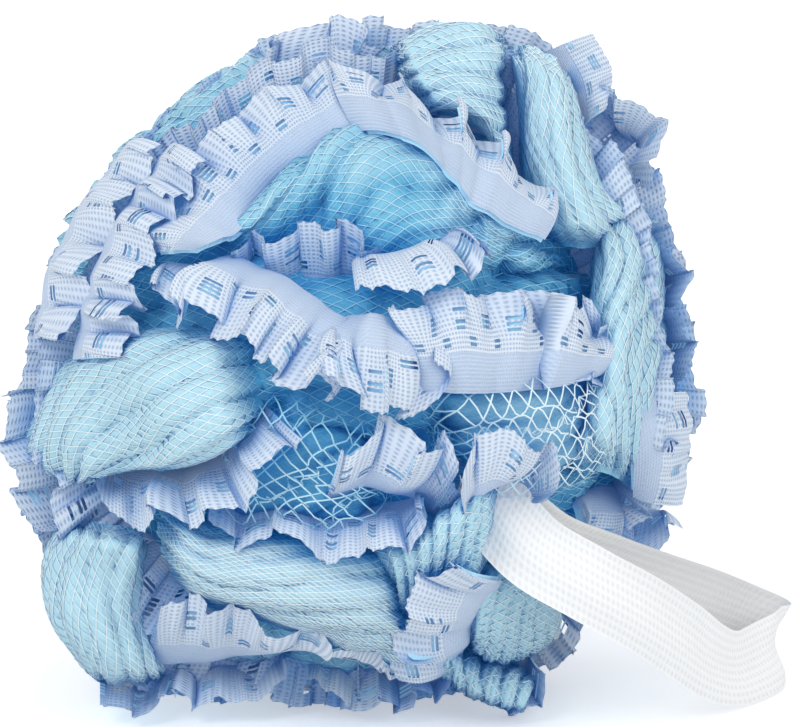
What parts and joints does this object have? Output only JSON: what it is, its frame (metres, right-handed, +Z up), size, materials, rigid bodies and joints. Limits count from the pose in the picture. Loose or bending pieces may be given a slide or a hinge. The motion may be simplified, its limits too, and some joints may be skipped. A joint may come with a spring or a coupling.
{
  "type": "mesh bath pouf",
  "caption": "Round bath pouf of ruffled netting with lace-trimmed edges, gathered round a cord tie, with a flat ribbon hanging loop.",
  "frame": {"origin": "on the floor, at the middle of the flattened frill edge that the pouf rests on", "axes": "+Z up, +X towards the side where the hanging loop lies, -Y towards the front"},
  "size_m": [0.1574, 0.1347, 0.1341],
  "materials": {
    "aqua_netting": "knitted plastic netting, soft sheen",
    "lilac_lace": "matt woven lace trim",
    "white_ribbon": "flat woven ribbon and cord"
  },
  "bodies": {
    "root": {"front_netting": "aqua_netting", "front_billow": "aqua_netting", "front_middle_fold": "aqua_netting", "back_netting": "aqua_netting", "front_lace_trim": "lilac_lace", "back_lace_trim": "lilac_lace", "centre_tie": "white_ribbon", "hanging_loop": "white_ribbon"}
  },
  "joints": []
}
